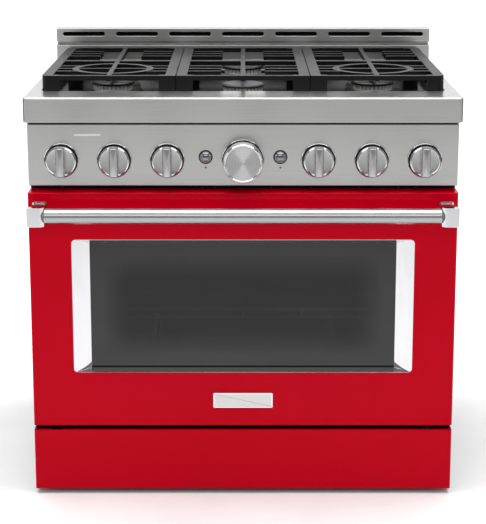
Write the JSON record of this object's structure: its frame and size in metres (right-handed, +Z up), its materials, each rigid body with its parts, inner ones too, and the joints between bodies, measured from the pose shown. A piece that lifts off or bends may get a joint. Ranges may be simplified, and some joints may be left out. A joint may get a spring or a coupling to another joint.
{
  "type": "freestanding gas range",
  "caption": "Freestanding pro-style gas range: red drop-down oven door with window, steel control panel and deck, cast grates over sealed burners, slotted backguard.",
  "frame": {"origin": "on the floor, midway between the sides and midway between the handle front and the back", "axes": "+Z up, the door faces -Y, +X to the right of a person in front of the range"},
  "size_m": [0.911, 0.771, 0.944],
  "materials": {
    "stainless_steel": "brushed stainless sheet, grain along its length",
    "polished_chrome": "polished bright plate",
    "red_enamel": "glossy vitreous enamel, slight orange peel",
    "side_enamel": "satin dark enamel",
    "oven_enamel": "porcelain enamel with fine flecks",
    "galvanised_steel": "galvanised sheet",
    "cast_iron": "matt enamelled casting",
    "burner_aluminium": "cast and machined",
    "brass": "turned",
    "tinted_glass": "tempered, dark tint",
    "clear_glass": "tempered",
    "knob_metal": "satin chrome plate"
  },
  "bodies": {
    "range_body": {"base_pan": "galvanised_steel", "foot_front_left": "galvanised_steel", "foot_front_right": "galvanised_steel", "foot_rear_left": "galvanised_steel", "foot_rear_right": "galvanised_steel", "side_panel_left": "side_enamel", "side_panel_right": "side_enamel", "rear_panel": "galvanised_steel", "kick_panel": "red_enamel", "oven_liner": "oven_enamel", "bake_burner": "galvanised_steel", "broil_burner": "galvanised_steel", "fan_cover": "oven_enamel", "cooktop": "stainless_steel", "backguard": "stainless_steel", "burner_head_left_front": "burner_aluminium", "burner_head_centre_front": "burner_aluminium", "burner_head_right_front": "burner_aluminium", "burner_head_left_rear": "burner_aluminium", "burner_head_centre_rear": "burner_aluminium", "burner_head_right_rear": "burner_aluminium", "control_panel": "stainless_steel", "gas_manifold": "brass"},
    "door": {"door_panel": "red_enamel", "window_trim": "polished_chrome", "outer_glass": "tinted_glass", "door_inner_panel": "oven_enamel", "inner_glass": "clear_glass", "handle_bar": "stainless_steel", "handle_bracket_left": "polished_chrome", "handle_bracket_right": "polished_chrome", "door_hinge_left": "galvanised_steel", "door_hinge_right": "galvanised_steel"},
    "rack_lower": {"rack_lower": "polished_chrome"},
    "rack_upper": {"rack_upper": "polished_chrome"},
    "fan": {"convection_fan": "burner_aluminium"},
    "grate_left": {"grate_left": "cast_iron"},
    "grate_centre": {"grate_centre": "cast_iron"},
    "grate_right": {"grate_right": "cast_iron"},
    "burner_cap_left_front": {"burner_cap_left_front": "cast_iron"},
    "burner_cap_centre_front": {"burner_cap_centre_front": "cast_iron"},
    "burner_cap_right_front": {"burner_cap_right_front": "cast_iron"},
    "burner_cap_left_rear": {"burner_cap_left_rear": "cast_iron"},
    "burner_cap_centre_rear": {"burner_cap_centre_rear": "cast_iron"},
    "burner_cap_right_rear": {"burner_cap_right_rear": "cast_iron"},
    "valve_stem_1": {"valve_stem_1": "brass"},
    "burner_knob_1": {"burner_knob_1": "knob_metal"},
    "valve_stem_2": {"valve_stem_2": "brass"},
    "burner_knob_2": {"burner_knob_2": "knob_metal"},
    "valve_stem_3": {"valve_stem_3": "brass"},
    "burner_knob_3": {"burner_knob_3": "knob_metal"},
    "valve_stem_4": {"valve_stem_4": "brass"},
    "burner_knob_4": {"burner_knob_4": "knob_metal"},
    "valve_stem_5": {"valve_stem_5": "brass"},
    "burner_knob_5": {"burner_knob_5": "knob_metal"},
    "valve_stem_6": {"valve_stem_6": "brass"},
    "burner_knob_6": {"burner_knob_6": "knob_metal"},
    "oven_knob": {"oven_knob": "knob_metal"},
    "button_left": {"button_left": "polished_chrome"},
    "button_right": {"button_right": "polished_chrome"}
  },
  "joints": [
    {"name": "door_hinge", "type": "hinge", "parent": "range_body", "child": "door", "pos_m": [0, -0.2865, 0.131], "axis": [1, 0, 0], "range_deg": [0, 90], "stiffness_Nm_per_rad": 25, "springref_deg": -17.19},
    {"name": "rack_lower_slide", "type": "slide", "parent": "range_body", "child": "rack_lower", "axis": [0, -1, 0], "range_m": [0, 0.2]},
    {"name": "rack_upper_slide", "type": "slide", "parent": "range_body", "child": "rack_upper", "axis": [0, -1, 0], "range_m": [0, 0.33]},
    {"name": "fan_spin", "type": "hinge", "parent": "range_body", "child": "fan", "pos_m": [0, 0.2335, 0.425], "axis": [0, 1, 0], "continuous": true},
    {"name": "grate_left_lift", "type": "slide", "parent": "range_body", "child": "grate_left", "axis": [0, 0, 1], "range_m": [0, 0.075]},
    {"name": "grate_centre_lift", "type": "slide", "parent": "range_body", "child": "grate_centre", "axis": [0, 0, 1], "range_m": [0, 0.075]},
    {"name": "grate_right_lift", "type": "slide", "parent": "range_body", "child": "grate_right", "axis": [0, 0, 1], "range_m": [0, 0.075]},
    {"name": "burner_cap_left_front_lift", "type": "slide", "parent": "range_body", "child": "burner_cap_left_front", "axis": [0, 0, 1], "range_m": [0, 0.012]},
    {"name": "burner_cap_centre_front_lift", "type": "slide", "parent": "range_body", "child": "burner_cap_centre_front", "axis": [0, 0, 1], "range_m": [0, 0.012]},
    {"name": "burner_cap_right_front_lift", "type": "slide", "parent": "range_body", "child": "burner_cap_right_front", "axis": [0, 0, 1], "range_m": [0, 0.012]},
    {"name": "burner_cap_left_rear_lift", "type": "slide", "parent": "range_body", "child": "burner_cap_left_rear", "axis": [0, 0, 1], "range_m": [0, 0.012]},
    {"name": "burner_cap_centre_rear_lift", "type": "slide", "parent": "range_body", "child": "burner_cap_centre_rear", "axis": [0, 0, 1], "range_m": [0, 0.012]},
    {"name": "burner_cap_right_rear_lift", "type": "slide", "parent": "range_body", "child": "burner_cap_right_rear", "axis": [0, 0, 1], "range_m": [0, 0.012]},
    {"name": "knob_1_push", "type": "slide", "parent": "range_body", "child": "valve_stem_1", "axis": [0, 1, 0], "range_m": [0, 0.003], "stiffness_N_per_m": 1200, "springref_m": -0.002},
    {"name": "knob_1_turn", "type": "hinge", "parent": "valve_stem_1", "child": "burner_knob_1", "pos_m": [-0.3795, -0.3045, 0.7324], "axis": [0, -1, 0], "range_deg": [0, 230]},
    {"name": "knob_2_push", "type": "slide", "parent": "range_body", "child": "valve_stem_2", "axis": [0, 1, 0], "range_m": [0, 0.003], "stiffness_N_per_m": 1200, "springref_m": -0.002},
    {"name": "knob_2_turn", "type": "hinge", "parent": "valve_stem_2", "child": "burner_knob_2", "pos_m": [-0.26875, -0.3045, 0.7324], "axis": [0, -1, 0], "range_deg": [0, 230]},
    {"name": "knob_3_push", "type": "slide", "parent": "range_body", "child": "valve_stem_3", "axis": [0, 1, 0], "range_m": [0, 0.003], "stiffness_N_per_m": 1200, "springref_m": -0.002},
    {"name": "knob_3_turn", "type": "hinge", "parent": "valve_stem_3", "child": "burner_knob_3", "pos_m": [-0.158, -0.3045, 0.7324], "axis": [0, -1, 0], "range_deg": [0, 230]},
    {"name": "knob_4_push", "type": "slide", "parent": "range_body", "child": "valve_stem_4", "axis": [0, 1, 0], "range_m": [0, 0.003], "stiffness_N_per_m": 1200, "springref_m": -0.002},
    {"name": "knob_4_turn", "type": "hinge", "parent": "valve_stem_4", "child": "burner_knob_4", "pos_m": [0.158, -0.3045, 0.7324], "axis": [0, -1, 0], "range_deg": [0, 230]},
    {"name": "knob_5_push", "type": "slide", "parent": "range_body", "child": "valve_stem_5", "axis": [0, 1, 0], "range_m": [0, 0.003], "stiffness_N_per_m": 1200, "springref_m": -0.002},
    {"name": "knob_5_turn", "type": "hinge", "parent": "valve_stem_5", "child": "burner_knob_5", "pos_m": [0.26875, -0.3045, 0.7324], "axis": [0, -1, 0], "range_deg": [0, 230]},
    {"name": "knob_6_push", "type": "slide", "parent": "range_body", "child": "valve_stem_6", "axis": [0, 1, 0], "range_m": [0, 0.003], "stiffness_N_per_m": 1200, "springref_m": -0.002},
    {"name": "knob_6_turn", "type": "hinge", "parent": "valve_stem_6", "child": "burner_knob_6", "pos_m": [0.3795, -0.3045, 0.7324], "axis": [0, -1, 0], "range_deg": [0, 230]},
    {"name": "oven_knob_turn", "type": "hinge", "parent": "range_body", "child": "oven_knob", "pos_m": [0, -0.3045, 0.7324], "axis": [0, 1, 0], "range_deg": [0, 300]},
    {"name": "button_left_press", "type": "slide", "parent": "range_body", "child": "button_left", "axis": [0, 1, 0], "range_m": [0, 0.003], "stiffness_N_per_m": 500, "springref_m": -0.003},
    {"name": "button_right_press", "type": "slide", "parent": "range_body", "child": "button_right", "axis": [0, 1, 0], "range_m": [0, 0.003], "stiffness_N_per_m": 500, "springref_m": -0.003}
  ],
  "couplings": [
    {"joint": "rack_lower_slide", "follows": "door_hinge", "m_per_rad": 0.12726},
    {"joint": "rack_upper_slide", "follows": "door_hinge", "m_per_rad": 0.21002}
  ]
}
